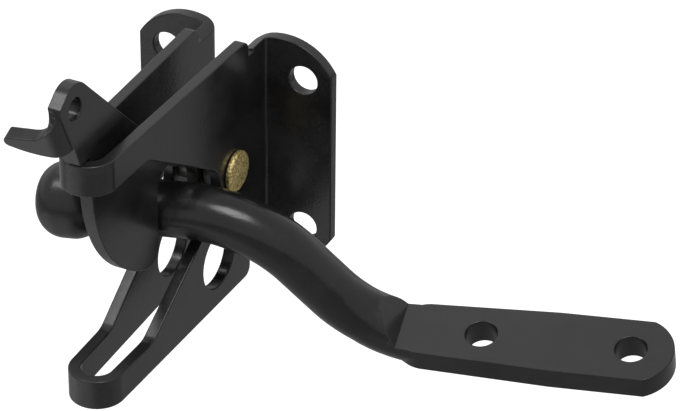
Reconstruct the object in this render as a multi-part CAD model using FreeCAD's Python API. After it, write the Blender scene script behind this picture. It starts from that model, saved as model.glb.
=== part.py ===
# Automatic gate latch for a post, with its strike bar resting in the mouth behind the pawl.
# Millimetres. X runs to the right along the post, Y runs back into the post and Z runs up.
# The origin is the middle of the four screw holes, on the face that lies against the post.

import FreeCAD, Part
import math
import os
from FreeCAD import Vector

# Housing: one strip of sheet, folded to a channel with two flanges
sheet = 3.45                    # thickness of the sheet, 10 gauge with its paint
nose_reach = 92.6               # from the post face to the front of the nose
channel_half = 9.75             # half the channel's outside width, at the flanges
channel_taper = 1.26            # degrees that each cheek leans in towards the nose
cheek_top = 38.8                # top edge of the cheeks
cheek_bottom = -38.0            # bottom edge of the cheeks
fold_radius = 0.8               # inside radius of the folds between cheek and flange
cheek_back = 12.8               # the full-height part of a cheek ends this far from the post face
cheek_corner = 3.0              # radius of a cheek's upper and lower back corners
relief_depth = 1.2              # how far the relief notch goes below the flange's top
relief_width = 2.4              # width of the relief notch beside the fold

# Flanges, with four screw holes
flange_half_width = 30.45       # from the middle to a flange's outer edge
flange_half_height = 35.7       # from the middle to the top of the flange's round end
flange_round = 17.5             # radius of the flange's round ends
flange_round_in = 15.35         # centre of the round ends, in from a flange's outer edge
screw_spacing_x = 43.1
screw_spacing_z = 48.0
screw_hole = 8.7                # diameter

# Mouth: a funnel that opens between the two nose straps and ends in a round throat
mouth_middle = 0.3              # height of the mouth's middle line
mouth_half = 29.3               # half the mouth's height at the straps
funnel_start = 68.4             # distance from the post face at which the straps end
funnel_angle = 32.2             # degrees, slope of each side of the funnel
throat_radius = 8.7
funnel_blend = 7.0              # radius where a strap's edge turns into the funnel

# Padlock holes, low in both cheeks
lock_hole = 17.6                # diameter
lock_hole_y = -30.9
lock_hole_z = -23.1

# Pivot rivet and its two spacers
pivot_y = -21.6
pivot_z = 1.2
shank = 6.35                    # diameter, 1/4 in
head_diameter = 12.0
head_rim = 1.1                  # height of the head's straight rim
head_crown = 0.5                # rise of the head's flat crown above its rim
head_slope = 0.9                # width of the slope between rim and crown
tail_diameter = 11.0
tail_height = 2.2
tail_end_diameter = 7.4
spacer_diameter = 11.0
rivet_seat = 0.05               # clearance of the shank in the cheeks, on the radius
spacer_bore_gap = 0.10          # clearance of a spacer on the shank, on the radius
spacer_end_gap = 0.05           # clearance of a spacer at the cheek

# Pawl: one plate, with a tab for the cord and a thumb lip folded from its front
pawl_thickness = 3.9
pawl_side_gap = 0.15            # clearance between the pawl and each spacer
pawl_bore_gap = 0.08            # clearance of the pawl on the shank, on the radius
hub_radius = 9.0
arm_knee_y = -52.0              # where the sloped top edge turns towards the hub
top_slope = 45.0                # degrees, slope of the tab's top edge
tip_y = -94.0                   # centre of the tab's round tip
tip_z = 57.25
tip_radius = 7.0
cord_hole = 6.3                 # diameter
cord_hole_y = -94.2
cord_hole_z = 57.1
rest_gap = 0.3                  # gap at rest between the pawl and the upper strap
strap_gap = 1.0                 # gap between the lobe's front and the inside of the nose
lobe_shoulder_z = 27.0          # height at which the lobe's front edge starts to curve
lobe_shoulder_back = 0.6        # how far that front edge has drawn back there
lobe_belly_y = -77.0            # a point on the lobe's rounded front
lobe_belly_z = 0.8
lobe_bottom_y = -58.5           # lowest point of the lobe
lobe_bottom_z = -12.4
lobe_back = -52.5               # the lobe's back edge, which stops the bar
lobe_corner = 4.5               # radius of the lobe's lower back corner
notch_top = 14.2                # top of the notch that spans the bar
notch_radius = 6.0              # radius of the notch's front upper corner
notch_throat_gap = 0.4          # the notch clears the throat by this much

# Thumb lip
lip_foot_y = -95.2              # lower end of the bend line, on the plate
lip_foot_z = 46.1
lip_bend_lean = 24.0            # degrees by which the bend line leans forward from upright
lip_bend_length = 15.5          # the bend line's length, up to the tab's front edge
lip_bend_angle = 81.0           # degrees
lip_inner_radius = 1.0
lip_length = 14.2               # reach of the lip to the left of the plate's left face
lip_top = 7.0                   # height of the lip's top edge above the lower end of the bend line
lip_sweep = 7.5                 # length of sheet over which the top edge sweeps up into the tab
lip_end_low = 3.2               # height at which the lip's lower edge turns up round its end
lip_end_round = 1.6             # length of that rounded end

# Strike bar: a round bar with an upset knob, an S-bend and a forged plate
bar_diameter = 15.875           # 5/8 in
bar_y = -43.1                   # where the bar's axis crosses the middle of the channel
bar_z = -2.0
bar_yaw = 10.6                  # degrees that the bar's right end turns back
bar_pitch = 4.0                 # degrees that the bar's right end rises
bar_roll = 14.7                 # degrees that the plate's front edge dips
knob_tip = 38.2                 # from the middle of the channel to the knob's tip, along the bar
knob_back = 20.75               # to where the knob meets the round bar
knob_diameter = 21.8
knob_face_radius = 16.0         # radius of the knob's domed face
knob_front_blend = 7.8          # radius from the domed face to the knob's side
knob_back_blend = 8.0           # radius from the knob's side to the bar
bend_start = 4.55               # from the middle of the channel to the first bend
bend_angle = 54.5               # degrees
first_bend_radius = 37.3
second_bend_radius = 34.3
slant_length = 14.4             # straight run between the two bends
plate_start = 62.1              # crease where the plate's flat top starts
plate_end = 139.3
plate_thickness = 8.0
plate_top_rise = 2.74           # the plate's top above the bar's axis
plate_root_half = 9.4           # half width where the plate leaves the round bar
plate_root_lap = 2.0            # how far the plate's round root reaches back past the crease
plate_root_end = 7.5            # the root's full width is this far past the crease
spread_turn = 34.0              # degrees of the second bend over which the bar is spread
spread_half = 8.7               # half width in the middle of that stretch
spread_end_half = 9.4           # half width at the bend's end
spread_end_drop = 7.3           # half height there
spread_run = 9.0                # past the bend, the round underside runs out into the plate
plate_half = 10.95              # half width over the outer part
plate_full_at = 105.5           # from here on the plate has its full width
plate_end_start = 132.2         # where the plate's end starts to round
plate_edge_break = 1.2          # slope that breaks the plate's lower edge
forge_ramp_angle = 62.0         # slope of the forged ramp from the round bar to the plate
plate_hole = 9.1                # diameter
plate_hole_inner = 84.95        # hole centres from the middle of the channel, along the bar
plate_hole_outer = 127.25

FAR = 400.0                     # longer than anything here, for cutting tools


def polygon_face(points):
    """A flat face from corner points."""
    return Part.Face(Part.makePolygon(points + [points[0]]))


def arc(start, middle, end):
    """An edge along the circle through three points."""
    return Part.Arc(start, middle, end).toShape()


def line(start, end):
    """A straight edge."""
    return Part.makeLine(start, end)


def joined_face(edges):
    """A flat face from edges that follow each other."""
    return Part.Face(Part.Wire(Part.__sortEdges__(edges)))


def side_view(y, z, x=0.0):
    """A point given by its place in the side view."""
    return Vector(x, y, z)


def cylinder_along_x(diameter, y, z, x_from, x_to):
    """A round bar or a drill parallel to X."""
    return Part.makeCylinder(diameter / 2, x_to - x_from, Vector(x_from, y, z), Vector(1, 0, 0))


# Values shared by the housing and by what fits in it
flange_round_x = flange_half_width - flange_round_in
taper = math.radians(channel_taper)
cheek_normal = Vector(math.cos(taper), -math.sin(taper), 0)
nose_width = channel_half * math.cos(taper) - (nose_reach - sheet) * math.sin(taper)
nose_radius = nose_width / (1 - math.sin(taper))
nose_centre = Vector(0, nose_radius - nose_reach, 0)
funnel = math.radians(funnel_angle)
throat_y = -funnel_start + mouth_half / math.tan(funnel) - throat_radius / math.sin(funnel)


def cheek_outside(y):
    """X of the right cheek's outer face at a distance y along the channel."""
    return channel_half + (y + sheet) * math.tan(taper)


def cheek_inside(y):
    """X of the right cheek's inner face."""
    return cheek_outside(y) - sheet / math.cos(taper)


def strip_plan():
    """The folded strip seen from above: flanges, folds, cheeks and the round nose."""
    fold_x = channel_half + fold_radius * (1 - math.sin(taper)) / math.cos(taper)
    fold_centre = Vector(fold_x, -sheet - fold_radius, 0)
    middle_of_fold = Vector(-math.cos(taper), math.sin(taper) + 1, 0).normalize()

    def right_half(offset):
        """Edges of one face of the strip, at an offset from its outer face."""
        radius = nose_radius - offset
        front = nose_centre + Vector(0, -radius, 0)
        tangent = nose_centre + cheek_normal * radius
        turn = Vector(math.sin(math.pi / 4), -math.cos(math.pi / 4), 0)
        fold = fold_radius + offset
        fold_at_cheek = fold_centre - cheek_normal * fold
        fold_at_flange = fold_centre + Vector(0, fold, 0)
        end = Vector(flange_half_width, offset - sheet, 0)
        return [
            arc(front, nose_centre + turn * radius, tangent),
            line(tangent, fold_at_cheek),
            arc(fold_at_cheek, fold_centre + middle_of_fold * fold, fold_at_flange),
            line(fold_at_flange, end),
        ]

    right = right_half(0.0) + right_half(sheet)
    right.append(line(Vector(flange_half_width, -sheet, 0), Vector(flange_half_width, 0, 0)))
    left = [edge.mirror(Vector(0, 0, 0), Vector(1, 0, 0)) for edge in right]
    return joined_face(right + left)


def mouth_face():
    """Side view of the mouth: two level strap edges, the funnel and the round throat."""
    tangent_y = throat_y + throat_radius * math.sin(funnel)
    tangent_rise = throat_radius * math.cos(funnel)
    turn = funnel_blend * math.tan(funnel / 2)

    def half(sign):
        """Upper or lower half of the outline."""
        strap = mouth_middle + sign * mouth_half
        before = side_view(-funnel_start - turn, strap)
        after = side_view(-funnel_start + turn * math.cos(funnel), strap - sign * turn * math.sin(funnel))
        blend_rise = funnel_blend * (1 - math.cos(funnel / 2))
        blend_run = funnel_blend * math.sin(funnel / 2)
        between = side_view(before.y + blend_run, strap - sign * blend_rise)
        return [
            line(side_view(-FAR, strap), before),
            arc(before, between, after),
            line(after, side_view(tangent_y, mouth_middle + sign * tangent_rise)),
        ]

    upper = half(1)
    lower = half(-1)
    throat = arc(side_view(tangent_y, mouth_middle + tangent_rise),
                 side_view(throat_y + throat_radius, mouth_middle),
                 side_view(tangent_y, mouth_middle - tangent_rise))
    front = line(side_view(-FAR, mouth_middle + mouth_half), side_view(-FAR, mouth_middle - mouth_half))
    return joined_face(upper + lower + [throat, front])


def flange_outline():
    """Front view of both flanges with their round ends, joined across the open channel."""
    round_z = flange_half_height - flange_round
    side_rise = math.sqrt(flange_round ** 2 - flange_round_in ** 2)
    in_channel = channel_half / 2
    channel_rise = math.sqrt(flange_round ** 2 - (flange_round_x - in_channel) ** 2)

    def at(x, z):
        return Vector(x, 0, z)

    edges = []
    for z_sign in (1, -1):
        edges.append(line(at(-in_channel, z_sign * (round_z + channel_rise)),
                          at(in_channel, z_sign * (round_z + channel_rise))))
    for x_sign in (1, -1):
        edges.append(line(at(x_sign * flange_half_width, round_z + side_rise),
                          at(x_sign * flange_half_width, -round_z - side_rise)))
        for z_sign in (1, -1):
            edges.append(arc(at(x_sign * in_channel, z_sign * (round_z + channel_rise)),
                             at(x_sign * flange_round_x, z_sign * flange_half_height),
                             at(x_sign * flange_half_width, z_sign * (round_z + side_rise))))
    return joined_face(edges)


def cheek_end_cutter(edge, sign):
    """Takes the cheek's corner off beside the fold, with the relief notch at its foot."""
    fold_top = sign * (flange_half_height - flange_round + math.sqrt(
        flange_round ** 2 - (flange_round_x - channel_half) ** 2))
    foot = fold_top - sign * relief_depth
    back = -cheek_back
    relief_end = back + relief_width
    clear = fold_top + sign * FAR / 2
    corner = cheek_corner
    diagonal = corner * math.sqrt(0.5)
    edges = [
        line(side_view(back - corner, edge), side_view(back - corner, edge + sign * FAR)),
        line(side_view(back - corner, edge + sign * FAR), side_view(FAR, edge + sign * FAR)),
        line(side_view(FAR, edge + sign * FAR), side_view(FAR, clear)),
        line(side_view(FAR, clear), side_view(relief_end, clear)),
        line(side_view(relief_end, clear), side_view(relief_end, foot)),
        line(side_view(relief_end, foot), side_view(back, foot)),
        line(side_view(back, foot), side_view(back, edge - sign * corner)),
        arc(side_view(back, edge - sign * corner),
            side_view(back - corner + diagonal, edge - sign * (corner - diagonal)),
            side_view(back - corner, edge)),
    ]
    return joined_face(edges)


def through_x(face):
    """A side-view face made a tool that cuts across the whole channel."""
    tool = face.copy()
    tool.translate(Vector(-FAR, 0, 0))
    return tool.extrude(Vector(2 * FAR, 0, 0))


def latch_body():
    """The housing: one folded strip, with the mouth, holes and flange outline cut from it."""
    plan = strip_plan()
    plan.translate(Vector(0, 0, cheek_bottom))
    body = plan.extrude(Vector(0, 0, cheek_top - cheek_bottom))

    fold_zone = -(cheek_back - relief_width)
    block = Part.makeBox(2 * FAR, FAR, 2 * FAR, Vector(-FAR, fold_zone, -FAR))
    outline = flange_outline()
    outline.translate(Vector(0, -FAR, 0))
    outside_flange = block.cut(outline.extrude(Vector(0, 2 * FAR, 0)))
    body = body.cut(outside_flange)

    body = body.cut(through_x(mouth_face()))
    for edge, sign in ((cheek_top, 1), (cheek_bottom, -1)):
        body = body.cut(through_x(cheek_end_cutter(edge, sign)))

    body = body.cut(cylinder_along_x(lock_hole, lock_hole_y, lock_hole_z, -FAR, FAR))
    body = body.cut(cylinder_along_x(shank + 2 * rivet_seat, pivot_y, pivot_z, -FAR, FAR))
    for x_sign in (1, -1):
        for z_sign in (1, -1):
            place = Vector(x_sign * screw_spacing_x / 2, -sheet - 1, z_sign * screw_spacing_z / 2)
            body = body.cut(Part.makeCylinder(screw_hole / 2, sheet + 2, place, Vector(0, 1, 0)))
    return body.removeSplitter()


def pivot_rivet():
    """The coloured rivet: low round head on the right, plain shank, upset tail on the left."""
    rivet_half = shank / 2
    head_seat = cheek_outside(pivot_y + head_diameter / 2) + rivet_seat
    tail_seat = -cheek_outside(pivot_y + tail_diameter / 2) - rivet_seat
    head_half = head_diameter / 2
    tail_half = tail_diameter / 2

    def at(x, radius):
        return Vector(x, pivot_y, pivot_z + radius)

    rim = head_seat + head_rim
    crown = rim + head_crown
    tail_end = tail_seat - tail_height
    edges = [
        line(at(crown, 0), at(tail_end, 0)),
        line(at(tail_end, 0), at(tail_end, tail_end_diameter / 2)),
        line(at(tail_end, tail_end_diameter / 2), at(tail_seat, tail_half)),
        line(at(tail_seat, tail_half), at(tail_seat, rivet_half)),
        line(at(tail_seat, rivet_half), at(head_seat, rivet_half)),
        line(at(head_seat, rivet_half), at(head_seat, head_half)),
        line(at(head_seat, head_half), at(rim, head_half)),
        line(at(rim, head_half), at(crown, head_half - head_slope)),
        line(at(crown, head_half - head_slope), at(crown, 0)),
    ]
    return joined_face(edges).revolve(at(0, 0), Vector(1, 0, 0), 360)


def pivot_spacer(side):
    """A turned ring on the shank that keeps the pawl in the middle; side is 1 or -1."""
    inner = pawl_thickness / 2 + pawl_side_gap
    outer = cheek_inside(pivot_y - spacer_diameter / 2) - spacer_end_gap
    start = min(side * inner, side * outer)
    ring = cylinder_along_x(spacer_diameter, pivot_y, pivot_z, start, start + outer - inner)
    bore = shank + 2 * spacer_bore_gap
    return ring.cut(cylinder_along_x(bore, pivot_y, pivot_z, -FAR, FAR))


def pawl_outline():
    """Side view of the pawl's plate, without its notch and holes."""
    slope = math.radians(top_slope)
    up = Vector(0, math.cos(slope), math.sin(slope))
    tip = side_view(tip_y, tip_z)
    tip_back = tip + Vector(0, math.sin(slope), math.cos(slope)) * tip_radius
    knee = side_view(arm_knee_y, tip_back.z - (arm_knee_y - tip_back.y) * math.tan(slope))

    hub = side_view(pivot_y, pivot_z)
    to_knee = knee - hub
    distance = to_knee.Length
    lean = math.atan2(to_knee.z, to_knee.y) - math.acos(hub_radius / distance)
    hub_top = hub + Vector(0, math.cos(lean), math.sin(lean)) * hub_radius

    lean_forward = math.radians(lip_bend_lean)
    bend = Vector(0, -math.sin(lean_forward), math.cos(lean_forward))
    foot = side_view(lip_foot_y, lip_foot_z)
    lip_top = foot + bend * lip_bend_length
    tip_front = tip + Vector(0, -up.y, up.z) * tip_radius

    strap_top = cheek_top + rest_gap
    inside_nose = nose_centre.y - math.sqrt((nose_radius - sheet) ** 2 - (pawl_thickness / 2) ** 2)
    lobe_front = inside_nose + strap_gap
    heel = side_view(-nose_reach, strap_top)
    shoulder = side_view(lobe_front + lobe_shoulder_back, lobe_shoulder_z)
    bottom = side_view(lobe_bottom_y, lobe_bottom_z)
    corner_low = side_view(lobe_back - lobe_corner, lobe_bottom_z)
    corner_mid = corner_low + Vector(0, lobe_corner * math.sin(slope), lobe_corner * (1 - math.cos(slope)))
    corner_up = side_view(lobe_back, lobe_bottom_z + lobe_corner)
    under_hub = side_view(pivot_y, pivot_z - hub_radius)
    hub_back = side_view(pivot_y + hub_radius, pivot_z)
    edges = [
        line(hub_top, knee),
        line(knee, tip_back),
        arc(tip_back, tip + Vector(0, 0, tip_radius), tip_front),
        line(tip_front, lip_top),
        line(lip_top, foot),
        line(foot, heel),
        line(heel, side_view(lobe_front, strap_top)),
        line(side_view(lobe_front, strap_top), shoulder),
        arc(shoulder, side_view(lobe_belly_y, lobe_belly_z), bottom),
        line(bottom, corner_low),
        arc(corner_low, corner_mid, corner_up),
        line(corner_up, side_view(lobe_back, pivot_z - hub_radius)),
        line(side_view(lobe_back, pivot_z - hub_radius), under_hub),
        arc(under_hub, hub_back, hub_top),
    ]
    return joined_face(edges)


def notch_face():
    """Side view of the notch that spans the bar, open at the bottom."""
    seat_radius = throat_radius + notch_throat_gap
    front = lobe_back
    top = notch_top
    corner = notch_radius
    diagonal = math.sqrt(0.5)
    seat_top = side_view(throat_y, mouth_middle + seat_radius)
    seat_mid = side_view(throat_y + seat_radius * diagonal, mouth_middle + seat_radius * diagonal)
    seat_back = side_view(throat_y + seat_radius, mouth_middle)
    corner_mid = side_view(front + corner * (1 - diagonal), top - corner * (1 - diagonal))
    edges = [
        line(side_view(front, -FAR), side_view(front, top - corner)),
        arc(side_view(front, top - corner), corner_mid, side_view(front + corner, top)),
        line(side_view(front + corner, top), seat_top),
        arc(seat_top, seat_mid, seat_back),
        line(seat_back, side_view(seat_back.y, -FAR)),
        line(side_view(seat_back.y, -FAR), side_view(front, -FAR)),
    ]
    return joined_face(edges)


def thumb_lip():
    """The lip: the plate's front bent to the left, then trimmed to a wing seen from the front."""
    lean = math.radians(lip_bend_lean)
    along = Vector(0, -math.sin(lean), math.cos(lean))
    out = Vector(0, -math.cos(lean), -math.sin(lean))
    across = Vector(-1, 0, 0)
    foot = side_view(lip_foot_y, lip_foot_z)
    angle = math.radians(lip_bend_angle)
    half = pawl_thickness / 2
    centre_across = half + lip_inner_radius
    outer = pawl_thickness + lip_inner_radius

    def at(a, o, height=0.0):
        """A point: a to the left, o out from the bend line, height along the bend line."""
        return foot + across * a + out * o + along * height

    def on_bend(radius, turn, height=-FAR / 4):
        """A point of the bend at a radius, turned from the plate's plane."""
        return at(centre_across - radius * math.cos(turn), radius * math.sin(turn), height)

    run = (lip_length + pawl_thickness - centre_across) / math.sin(angle)
    ahead = across * math.sin(angle) + out * math.cos(angle)
    outer_end = on_bend(outer, angle) + ahead * run
    inner_end = on_bend(lip_inner_radius, angle) + ahead * run
    section = joined_face([
        line(at(half, 0, -FAR / 4), at(half, -2, -FAR / 4)),
        line(at(half, -2, -FAR / 4), at(-half, -2, -FAR / 4)),
        line(at(-half, -2, -FAR / 4), at(-half, 0, -FAR / 4)),
        arc(at(-half, 0, -FAR / 4), on_bend(outer, angle / 2), on_bend(outer, angle)),
        line(on_bend(outer, angle), outer_end),
        line(outer_end, inner_end),
        line(inner_end, on_bend(lip_inner_radius, angle)),
        arc(on_bend(lip_inner_radius, angle), on_bend(lip_inner_radius, angle / 2), at(half, 0, -FAR / 4)),
    ])
    bent = section.extrude(along * FAR / 2)

    def sweep_height(length):
        """Height of the top edge, at a length of sheet from the bend's start."""
        return lip_top + (lip_bend_length - lip_top) * (1 - length / lip_sweep) ** 2

    def seen(a, height):
        """A point of the wing as seen from the front."""
        return at(a, -FAR / 4, height)

    neutral = lip_inner_radius + 0.4 * pawl_thickness
    swept = []
    for turn in (0, math.pi / 8, math.pi / 4, math.pi * 3 / 8, math.pi / 2):
        low = sweep_height(neutral * turn)
        swept.append(Part.makePolygon([
            on_bend(0.2, turn, low),
            on_bend(outer + 0.5, turn, low),
            on_bend(outer + 0.5, turn, low + FAR / 4),
            on_bend(0.2, turn, low + FAR / 4),
            on_bend(0.2, turn, low),
        ]))
    over_the_bend = Part.makeLoft(swept, True, True)

    tip = lip_length
    turned = neutral * math.pi / 2
    level = centre_across + lip_sweep - turned
    low_end = seen(tip - lip_end_round, lip_end_low)
    wing = joined_face([
        line(seen(-half - 1, 0), seen(half, 0.3)),
        arc(seen(half, 0.3), seen(tip * 0.55, lip_end_low * 0.4), low_end),
        arc(low_end, seen(tip, (lip_end_low + lip_top) / 2), seen(tip - 1, lip_top)),
        line(seen(tip - 1, lip_top), seen(level, lip_top)),
        arc(seen(level, lip_top), seen(centre_across + 1.5, sweep_height(turned + 1.5)),
            seen(centre_across, sweep_height(turned))),
        line(seen(centre_across, sweep_height(turned)), seen(centre_across, lip_bend_length)),
        line(seen(centre_across, lip_bend_length), seen(-half - 1, lip_bend_length)),
        line(seen(-half - 1, lip_bend_length), seen(-half - 1, 0)),
    ])
    return bent.common(wing.extrude(out * FAR / 2)).cut(over_the_bend)


def pawl():
    """The pawl: plate with notch, pivot bore and cord hole, and the thumb lip."""
    plate = pawl_outline()
    plate.translate(Vector(-pawl_thickness / 2, 0, 0))
    plate = plate.extrude(Vector(pawl_thickness, 0, 0))
    plate = plate.cut(through_x(notch_face()))
    shape = plate.fuse(thumb_lip())
    shape = shape.cut(cylinder_along_x(shank + 2 * pawl_bore_gap, pivot_y, pivot_z, -FAR, FAR))
    shape = shape.cut(cylinder_along_x(cord_hole, cord_hole_y, cord_hole_z, -FAR, FAR))
    return shape.removeSplitter()


def bar_point(along, down=0.0, across=0.0):
    """A point in the bar's own frame: along its axis, down towards the plate, across to the back."""
    return Vector(along, across, -down)


def bent_bar():
    """The round bar with its S-bend, up to the forged plate."""
    radius = bar_diameter / 2
    angle = math.radians(bend_angle)
    first_centre = bar_point(bend_start, first_bend_radius)
    first_end = bar_point(bend_start + first_bend_radius * math.sin(angle),
                          first_bend_radius * (1 - math.cos(angle)))
    run = bar_point(math.cos(angle), math.sin(angle))
    second_start = first_end + run * slant_length
    second_centre = second_start + bar_point(math.sin(angle), -math.cos(angle)) * second_bend_radius

    straight = Part.makeCylinder(radius, bend_start + knob_back, bar_point(-knob_back), Vector(1, 0, 0))
    disc = Part.Face(Part.Wire(Part.makeCircle(radius, bar_point(bend_start), Vector(1, 0, 0))))
    first = disc.revolve(first_centre, Vector(0, 1, 0), bend_angle)
    slant = Part.makeCylinder(radius, slant_length, first_end, run)
    disc = Part.Face(Part.Wire(Part.makeCircle(radius, second_start, run)))
    second = disc.revolve(second_centre, Vector(0, -1, 0), bend_angle - spread_turn)
    drop = -second_centre.z + second_bend_radius
    return straight.fuse([first, slant, second, spread_root(second_centre, drop)]), drop


def spread_root(centre, drop):
    """The last of the bend, hammered wider and flatter until it runs out into the plate."""
    radius = bar_diameter / 2

    def ring(turn, half_width, half_height, ahead=0.0):
        """An oval section, at degrees before the bend's end or past it."""
        left = math.radians(turn)
        inward = Vector(math.sin(left), 0, math.cos(left))
        middle = centre - inward * second_bend_radius + Vector(ahead, 0, 0)
        oval = Part.Wire(Part.Ellipse(Vector(0, 0, 0), half_width, half_height).toShape())
        across = Vector(0, 1, 0)
        turned = FreeCAD.Rotation(across, inward, across.cross(inward), "XYZ")
        oval.Placement = FreeCAD.Placement(middle, turned)
        return oval

    return Part.makeLoft([
        ring(spread_turn, radius, radius),
        ring(spread_turn / 2, spread_half, radius),
        ring(0, spread_end_half, spread_end_drop),
        ring(0, spread_end_half + 0.3, plate_thickness - plate_top_rise - 0.05, spread_run),
    ], True)


def knob():
    """The upset knob, turned about the bar's axis."""
    half = knob_diameter / 2
    face_centre = -knob_tip + knob_face_radius
    front = knob_front_blend
    reach = math.sqrt((knob_face_radius - front) ** 2 - (half - front) ** 2)
    front_centre = bar_point(face_centre - reach, -(half - front))
    touch = (front_centre - bar_point(face_centre)).normalize()
    face_end = bar_point(face_centre) + touch * knob_face_radius
    side_front = bar_point(front_centre.x, -half)
    between = (touch + Vector(0, 0, 1)).normalize()
    back = knob_back_blend
    bar_radius = bar_diameter / 2
    drop = math.sqrt(back ** 2 - (bar_radius - half + back) ** 2)
    side_back = bar_point(-knob_back - drop, -half)
    back_centre = bar_point(-knob_back - drop, -(half - back))
    neck = bar_point(-knob_back, -bar_radius)
    back_between = (Vector(0, 0, 1) + (neck - back_centre).normalize()).normalize()
    half_face = math.atan2(face_end.z, face_centre - face_end.x) / 2
    face_middle = bar_point(face_centre - knob_face_radius * math.cos(half_face),
                            -knob_face_radius * math.sin(half_face))
    edges = [
        arc(bar_point(-knob_tip), face_middle, face_end),
        arc(face_end, front_centre + between * front, side_front),
        line(side_front, side_back),
        arc(side_back, back_centre + back_between * back, neck),
        line(neck, bar_point(-knob_back)),
        line(bar_point(-knob_back), bar_point(-knob_tip)),
    ]
    return joined_face(edges).revolve(bar_point(0), Vector(1, 0, 0), 360)


def forged_plate(drop):
    """The flat plate: plan outline with a slight flare, a round end and a broken lower edge."""
    top = drop - plate_top_rise
    root = plate_start + plate_root_end
    end_start = plate_end_start
    outline = joined_face([
        arc(bar_point(root, top, plate_root_half), bar_point(plate_start - plate_root_lap, top),
            bar_point(root, top, -plate_root_half)),
        line(bar_point(root, top, -plate_root_half), bar_point(plate_full_at, top, -plate_half)),
        line(bar_point(plate_full_at, top, -plate_half), bar_point(end_start, top, -plate_half)),
        arc(bar_point(end_start, top, -plate_half), bar_point(plate_end, top),
            bar_point(end_start, top, plate_half)),
        line(bar_point(end_start, top, plate_half), bar_point(plate_full_at, top, plate_half)),
        line(bar_point(plate_full_at, top, plate_half), bar_point(root, top, plate_root_half)),
    ])
    straight = plate_thickness - plate_edge_break
    slab = outline.extrude(bar_point(0, straight))
    rim = outline.OuterWire.copy()
    rim.translate(bar_point(0, straight))
    foot = rim.makeOffset2D(-plate_edge_break, join=2)
    foot.translate(bar_point(0, plate_edge_break))
    return slab.fuse(Part.makeLoft([rim, foot], True, True))


def strike_bar():
    """The strike bar: knob, bent round bar and forged plate, in one piece."""
    bar, drop = bent_bar()
    top = drop - plate_top_rise
    plate = forged_plate(drop)
    shape = bar.fuse([knob(), plate])

    ramp = math.radians(forge_ramp_angle)
    above_plate = polygon_face([
        bar_point(plate_start, top, -FAR),
        bar_point(FAR, top, -FAR),
        bar_point(FAR, top - FAR, -FAR),
        bar_point(plate_start - FAR * math.cos(ramp), top - FAR * math.sin(ramp), -FAR),
    ]).extrude(Vector(0, 2 * FAR, 0))
    shape = shape.cut(above_plate)

    for along in (plate_hole_inner, plate_hole_outer):
        drill = Part.makeCylinder(plate_hole / 2, plate_thickness + 2,
                                  bar_point(along, top + plate_thickness + 1), Vector(0, 0, 1))
        shape = shape.cut(drill)
    shape = shape.removeSplitter()
    shape.Placement = FreeCAD.Placement(Vector(0, bar_y, bar_z),
                                        FreeCAD.Rotation(bar_yaw, -bar_pitch, bar_roll))
    return shape


nodes = {
    "latch_body": latch_body(),
    "pivot_rivet": pivot_rivet(),
    "pivot_spacer_left": pivot_spacer(-1),
    "pivot_spacer_right": pivot_spacer(1),
    "pawl": pawl(),
    "strike_bar": strike_bar(),
}

os.makedirs("parts", exist_ok=True)
for name, shape in nodes.items():
    shape.exportStep("parts/" + name + ".step")
    box = shape.BoundBox
    print(name, len(shape.Solids), "solid, volume", round(shape.Volume), "valid", shape.isValid(),
          [round(v, 2) for v in (box.XMin, box.XMax, box.YMin, box.YMax, box.ZMin, box.ZMax)])
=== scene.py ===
import math

import bmesh
import bpy
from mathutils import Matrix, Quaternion, Vector


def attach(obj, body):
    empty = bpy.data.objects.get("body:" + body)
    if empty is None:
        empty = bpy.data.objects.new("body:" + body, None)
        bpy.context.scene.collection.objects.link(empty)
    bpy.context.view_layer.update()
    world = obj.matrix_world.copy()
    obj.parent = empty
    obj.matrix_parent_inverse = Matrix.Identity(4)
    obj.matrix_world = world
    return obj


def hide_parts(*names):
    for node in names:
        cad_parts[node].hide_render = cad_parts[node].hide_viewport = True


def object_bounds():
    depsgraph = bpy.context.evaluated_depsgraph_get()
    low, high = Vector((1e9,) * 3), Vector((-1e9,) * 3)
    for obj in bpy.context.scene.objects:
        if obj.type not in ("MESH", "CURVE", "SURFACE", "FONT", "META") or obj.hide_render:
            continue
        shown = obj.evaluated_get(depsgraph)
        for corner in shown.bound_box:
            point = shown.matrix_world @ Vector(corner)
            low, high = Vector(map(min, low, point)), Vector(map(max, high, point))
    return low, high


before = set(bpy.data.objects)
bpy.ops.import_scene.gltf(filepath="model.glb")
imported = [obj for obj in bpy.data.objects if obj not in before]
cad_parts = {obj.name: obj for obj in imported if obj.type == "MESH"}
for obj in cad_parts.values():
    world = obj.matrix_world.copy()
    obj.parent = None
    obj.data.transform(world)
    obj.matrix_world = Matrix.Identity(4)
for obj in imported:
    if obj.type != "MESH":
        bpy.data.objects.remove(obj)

cad_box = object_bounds()

# Where the latch is looked at from: a little to the right of its front and well above it,
# from about a metre away, as it was pictured. The frame is 680 by 411.
azimuth, elevation, roll = (math.radians(angle) for angle in (25.72, 32.13, 0.602))
back = Vector((math.sin(azimuth) * math.cos(elevation),
               -math.cos(azimuth) * math.cos(elevation),
               math.sin(elevation)))
camera_offset = Vector((0.0284, -0.0213, 0.94935))    # to its own right, upwards and backwards
camera = bpy.data.objects.new("camera", bpy.data.cameras.new("camera"))
camera.data.sensor_width = 36.0
camera.data.lens = 175.8
camera.rotation_mode = "QUATERNION"
camera.rotation_quaternion = back.to_track_quat("Z", "Y") @ Quaternion((0, 0, 1), roll)
camera.location = camera.rotation_quaternion @ camera_offset
bpy.context.scene.collection.objects.link(camera)
bpy.context.scene.camera = camera


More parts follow.
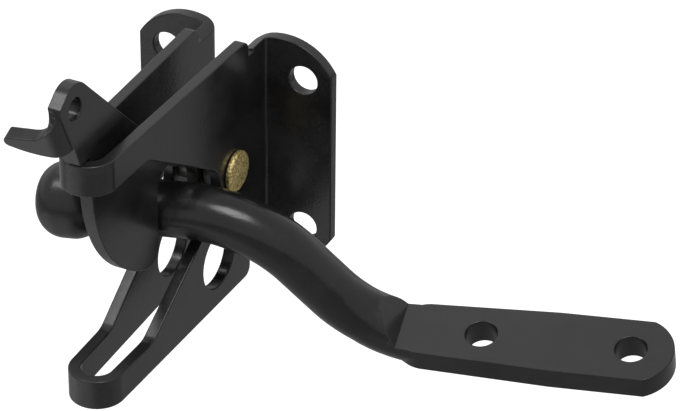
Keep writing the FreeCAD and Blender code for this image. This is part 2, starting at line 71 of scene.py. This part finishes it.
# The housing: one blank of 10 gauge steel sheet, folded round a rounded nose into two cheeks
# and out again into two screw flanges, then painted. The faces are the smooth rolled skin of
# the sheet. Its outline and holes are punched, so those narrow faces are duller and rougher.
sharp_edge = math.radians(40)      # beyond this, two faces meet in a cut edge, not in a fold
flat_enough = math.radians(0.4)
merged_within = 2e-6
hollow_corner = 0.3                # how much a hollow corner is rounded, as a share of an outer one


def one_skin(start):
    """The faces that run on from one face without a sharp edge between them."""
    reached, to_follow = {start}, [start]
    while to_follow:
        for edge in to_follow.pop().edges:
            if len(edge.link_faces) == 2 and edge.calc_face_angle() < sharp_edge:
                fresh = set(edge.link_faces) - reached
                reached |= fresh
                to_follow += fresh
    return reached


def finished_copy(node, name, corner):
    """A node's own shape as one closed surface, its corners rounded as paint leaves them.

    The two largest skins take the piece's first material, every other face its second.
    """
    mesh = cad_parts[node].data.copy()
    mesh.name = name
    mesh.materials.clear()
    shape = bmesh.new()
    shape.from_mesh(mesh)
    bmesh.ops.remove_doubles(shape, verts=shape.verts, dist=merged_within)
    bmesh.ops.dissolve_limit(shape, angle_limit=flat_enough, verts=shape.verts, edges=shape.edges)
    for face in shape.faces:
        face.smooth = True
    skins = set()
    for _ in range(2):
        unclaimed = (face for face in shape.faces if face not in skins)
        skins |= one_skin(max(unclaimed, key=lambda face: face.calc_area()))
    for face in shape.faces:
        face.material_index = 0 if face in skins else 1
    share = shape.edges.layers.float.new("bevel_weight_edge")
    for edge in shape.edges:
        if len(edge.link_faces) == 2 and edge.calc_face_angle() > sharp_edge:
            edge[share] = 1.0 if edge.is_convex else hollow_corner
    shape.to_mesh(mesh)
    shape.free()
    piece = bpy.data.objects.new(name, mesh)
    bpy.context.scene.collection.objects.link(piece)
    rounding = piece.modifiers.new("rounded corners", "BEVEL")
    rounding.width = corner
    rounding.segments = 3
    rounding.limit_method = "WEIGHT"
    rounding.use_clamp_overlap = False
    rounding.loop_slide = False
    rounding.miter_outer = "MITER_ARC"
    flat_faces = piece.modifiers.new("flat faces stay flat", "WEIGHTED_NORMAL")
    flat_faces.keep_sharp = False
    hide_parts(node)
    return piece


def linear(colour):
    """An sRGB hex colour as the linear values that a shader's socket takes."""
    channels = [int(colour[at:at + 2], 16) / 255 for at in (1, 3, 5)]
    return [c / 12.92 if c < 0.04045 else ((c + 0.055) / 1.055) ** 2.4 for c in channels] + [1.0]


def add(tree, kind, settings, links=None):
    """Adds one node with its settings, and links other nodes' outputs to its inputs."""
    node = tree.nodes.new("ShaderNode" + kind)
    for name, value in settings.items():
        if isinstance(name, int) or name in node.inputs:
            node.inputs[name].default_value = value
        else:
            setattr(node, name, value)
    for name, output in (links or {}).items():
        tree.links.new(output, node.inputs[name])
    return node


# Black stoving enamel over rolled sheet: close to black and glossy. A sprayed and baked coat
# keeps faint waves, about 2 mm from crest to crest, and a grain of 0.6 mm, in real paint finer
# than that and drawn as coarse as it shows. About a centimetre apart are cloudy patches where
# the coat is duller, and nibs of half a millimetre where dust lay under it.
skin_paint = bpy.data.materials.new("black stoving enamel on rolled sheet")
skin_paint.use_nodes = True
tree = skin_paint.node_tree
shader = tree.nodes["Principled BSDF"]
shader.inputs["IOR"].default_value = 1.42
place = add(tree, "TexCoord", {}).outputs["Object"]
clouds = add(tree, "TexNoise", {"Scale": 1 / 0.012, "Detail": 6.0, "Roughness": 0.7},
             {"Vector": place})
ripple = add(tree, "TexNoise", {"Scale": 1 / 0.002, "Detail": 2.0, "Roughness": 0.4},
             {"Vector": place})
grain = add(tree, "TexNoise", {"Scale": 1 / 0.0006, "Detail": 1.0}, {"Vector": place})
shade = add(tree, "ValToRGB", {"name": "shade"}, {"Fac": clouds.outputs["Fac"]})
darkest, palest = shade.color_ramp.elements
darkest.position, darkest.color = 0.36, linear("#161616")
palest.position, palest.color = 0.64, linear("#232324")
tree.links.new(shade.outputs["Color"], shader.inputs["Base Color"])
dullness = add(tree, "MapRange", {"name": "dullness", "From Min": 0.3, "From Max": 0.7,
                                  "To Min": 0.18, "To Max": 0.27},
               {"Value": clouds.outputs["Fac"]})
tree.links.new(dullness.outputs["Result"], shader.inputs["Roughness"])
waves = add(tree, "Bump", {"Strength": 0.4, "Distance": 0.00006}, {"Height": ripple.outputs["Fac"]})
specks = add(tree, "Bump", {"Strength": 0.5, "Distance": 0.00005},
             {"Height": grain.outputs["Fac"], "Normal": waves.outputs["Normal"]})
spread = add(tree, "TexVoronoi", {"Scale": 1 / 0.009}, {"Vector": place})
nibs = add(tree, "MapRange", {"From Min": 0.0, "From Max": 0.035, "To Min": 1.0, "To Max": 0.0},
           {"Value": spread.outputs["Distance"]})
raised = add(tree, "Bump", {"Strength": 0.6, "Distance": 0.00012},
             {"Height": nibs.outputs["Result"], "Normal": specks.outputs["Normal"]})
tree.links.new(raised.outputs["Normal"], shader.inputs["Normal"])

# The same enamel over a punched edge: half of the thickness is torn, so the coat there is a
# little duller and wavier than on the skin. Its colour is also a little darker, which is painted
# shade for the dark parts of the latch that these narrow faces mirror.
shaded_edge_paint = skin_paint.copy()
shaded_edge_paint.name = "black stoving enamel on punched edge"
tree = shaded_edge_paint.node_tree
# Darker shades than on the skin: painted shade.
darkest, palest = tree.nodes["shade"].color_ramp.elements
darkest.color, palest.color = linear("#151515"), linear("#1c1c1d")
tree.nodes["dullness"].inputs["To Min"].default_value = 0.24
tree.nodes["dullness"].inputs["To Max"].default_value = 0.34
for node in tree.nodes:
    if node.type == "BUMP":
        node.inputs["Strength"].default_value = 0.45

housing = finished_copy("latch_body", "folded_housing", corner=0.0004)
housing.data.materials.append(skin_paint)
housing.data.materials.append(shaded_edge_paint)
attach(housing, "housing")


# The pivot: a shouldered steel rivet, plated in yellow zinc, set through both cheeks. Its flat
# head is speckled from the cold heading, and its tail is riveted over on the left. The plating
# is a brassy metal, satin where it is clean and duller where it is tarnished.
rivet = finished_copy("pivot_rivet", "yellow_rivet", corner=0.0002)
yellow_zinc = bpy.data.materials.new("yellow passivated zinc plate")
yellow_zinc.use_nodes = True
tree = yellow_zinc.node_tree
shader = tree.nodes["Principled BSDF"]
shader.inputs["Metallic"].default_value = 1.0
place = add(tree, "TexCoord", {}).outputs["Object"]
speckle = add(tree, "TexNoise", {"Scale": 1 / 0.0007, "Detail": 3.0, "Roughness": 0.7},
              {"Vector": place})
tarnish = add(tree, "TexNoise", {"Scale": 1 / 0.004, "Detail": 2.0}, {"Vector": place})
plating = add(tree, "ValToRGB", {}, {"Fac": speckle.outputs["Fac"]})
darkest, palest = plating.color_ramp.elements
darkest.position, darkest.color = 0.40, linear("#9d853e")
palest.position, palest.color = 0.60, linear("#f8e8ae")
tree.links.new(plating.outputs["Color"], shader.inputs["Base Color"])
dullness = add(tree, "MapRange", {"From Min": 0.3, "From Max": 0.7, "To Min": 0.46, "To Max": 0.62},
               {"Value": tarnish.outputs["Fac"]})
tree.links.new(dullness.outputs["Result"], shader.inputs["Roughness"])
pits = add(tree, "Bump", {"Strength": 0.4, "Distance": 0.00008}, {"Height": speckle.outputs["Fac"]})
tree.links.new(pits.outputs["Normal"], shader.inputs["Normal"])
for _ in range(2):
    rivet.data.materials.append(yellow_zinc)
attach(rivet, "housing")


# Two short turned steel tubes on the rivet, one on each side of the pawl, which keep it in the
# middle between the cheeks. They are plain steel with the rings of the lathe tool, 0.38 mm
# apart, where real ones are finer and wouldn't show.
ring_pitch = 0.00038
crest_to_crest = math.pi / 10    # of a band pattern at a scale of 1
turned_steel = bpy.data.materials.new("plain turned steel")
turned_steel.use_nodes = True
tree = turned_steel.node_tree
shader = tree.nodes["Principled BSDF"]
shader.inputs["Metallic"].default_value = 1.0
shader.inputs["Base Color"].default_value = linear("#8d8d8a")
place = add(tree, "TexCoord", {}).outputs["Object"]
rings = add(tree, "TexWave", {"wave_type": "BANDS", "bands_direction": "X",
                              "Scale": crest_to_crest / ring_pitch, "Distortion": 0.5},
            {"Vector": place})
stain = add(tree, "TexNoise", {"Scale": 1 / 0.003, "Detail": 3.0}, {"Vector": place})
dullness = add(tree, "MapRange", {"To Min": 0.3, "To Max": 0.5}, {"Value": stain.outputs["Fac"]})
tree.links.new(dullness.outputs["Result"], shader.inputs["Roughness"])
grooves = add(tree, "Bump", {"Strength": 0.2, "Distance": 0.00002},
              {"Height": rings.outputs["Fac"]})
tree.links.new(grooves.outputs["Normal"], shader.inputs["Normal"])
for side in ("left", "right"):
    spacer = finished_copy("pivot_spacer_" + side, "turned_spacer_" + side, corner=0.0002)
    for _ in range(2):
        spacer.data.materials.append(turned_steel)
    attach(spacer, "housing")


# The pawl: a plate punched from thicker sheet, which hangs on the rivet and drops behind the
# bar. Its tab has a hole for a pull cord, and its foot is folded out into a lip for the thumb.
pawl = finished_copy("pawl", "drop_pawl", corner=0.0003)
pawl.data.materials.append(skin_paint)
pawl.data.materials.append(shaded_edge_paint)
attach(pawl, "pawl")


# The strike bar: round bar, bent hot, with its end forged flat into a plate for two bolts and
# its other end upset into a knob. It carries the same enamel in a heavier coat, drawn blacker
# as painted shade for the dark surroundings that the bar mirrors.
bar = finished_copy("strike_bar", "forged_strike_bar", corner=0.0003)
shaded_bar_paint = skin_paint.copy()
shaded_bar_paint.name = "black stoving enamel on forged bar, darker as painted shade"
# Darker shades than on the skin: painted shade.
darkest, palest = shaded_bar_paint.node_tree.nodes["shade"].color_ramp.elements
darkest.color, palest.color = linear("#121212"), linear("#1d1d1e")
bar.data.materials.append(shaded_bar_paint)
bar.data.materials.append(shaded_edge_paint)
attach(bar, "strike")


# The studio: a plain pale floor well below the latch, an even white surround that the paint
# mirrors, three soft lamps above for the highlights along the bar, the edges and the plate,
# and a spotlight on the floor.
floor_drop = 0.12
floor_reach = 4.0
floor_mesh = bmesh.new()
bmesh.ops.create_grid(floor_mesh, x_segments=1, y_segments=1, size=floor_reach)
bmesh.ops.translate(floor_mesh, verts=floor_mesh.verts, vec=(0, 0, cad_box[0].z - floor_drop))
floor = bpy.data.objects.new("floor", bpy.data.meshes.new("floor"))
floor_mesh.to_mesh(floor.data)
floor_mesh.free()
bpy.context.scene.collection.objects.link(floor)
# Pale card, matt, so that nothing is mirrored in it. To the camera alone it is lifted to white.
lift_to_white = 0.8
floor_card = bpy.data.materials.new("white card")
floor_card.use_nodes = True
tree = floor_card.node_tree
shader = tree.nodes["Principled BSDF"]
shader.inputs["Base Color"].default_value = linear("#b0b0b0")
shader.inputs["Roughness"].default_value = 0.9
shader.inputs["Specular IOR Level"].default_value = 0.0
seen = add(tree, "LightPath", {})
glow = add(tree, "Math", {"operation": "MULTIPLY", 1: lift_to_white},
           {0: seen.outputs["Is Camera Ray"]})
lift = add(tree, "Emission", {}, {"Strength": glow.outputs["Value"]})
both = add(tree, "AddShader", {}, {0: shader.outputs["BSDF"], 1: lift.outputs["Emission"]})
tree.links.new(both.outputs["Shader"], tree.nodes["Material Output"].inputs["Surface"])
floor.data.materials.append(floor_card)

# The surround lights the latch evenly, is a little brighter where the paint mirrors it, and is
# plain white to the camera.
surround, more_when_mirrored = 0.52, 0.3
world = bpy.data.worlds.new("white surround")
world.use_nodes = True
tree = world.node_tree
seen = add(tree, "LightPath", {})
mirrored = add(tree, "Math", {"operation": "MULTIPLY_ADD", 1: more_when_mirrored, 2: surround},
               {0: seen.outputs["Is Glossy Ray"]})
shown = add(tree, "Math", {"operation": "MAXIMUM"},
            {0: mirrored.outputs["Value"], 1: seen.outputs["Is Camera Ray"]})
tree.links.new(shown.outputs["Value"], tree.nodes["Background"].inputs["Strength"])
tree.nodes["Background"].inputs["Color"].default_value = (1, 1, 1, 1)
bpy.context.scene.world = world

for name, place, width, power in (("front lamp", (0.31, -0.35, 0.80), 0.42, 3.8),
                                  ("left lamp", (-0.36, -0.36, 0.84), 0.30, 2.2),
                                  ("rear lamp", (-0.42, 0.42, 0.86), 0.60, 0.55)):
    lamp = bpy.data.objects.new(name, bpy.data.lights.new(name, "AREA"))
    lamp.data.shape = "DISK"
    lamp.data.size = width
    lamp.data.energy = power
    lamp.location = place
    lamp.rotation_mode = "QUATERNION"
    lamp.rotation_quaternion = Vector(place).to_track_quat("Z", "Y")
    bpy.context.scene.collection.objects.link(lamp)

# A spotlight on the floor in front and to the left, which the faces towards the front mirror.
spot = bpy.data.objects.new("floor lamp", bpy.data.lights.new("floor lamp", "SPOT"))
spot.data.spot_size = math.radians(38)
spot.data.spot_blend = 0.6
spot.data.energy = 26.0
spot.location = (-0.30, -0.45, 0.45)
spot.rotation_mode = "QUATERNION"
spot.rotation_quaternion = Vector((-0.14, -0.16, 0.62)).to_track_quat("Z", "Y")
bpy.context.scene.collection.objects.link(spot)

bpy.context.scene.view_settings.view_transform = "Standard"
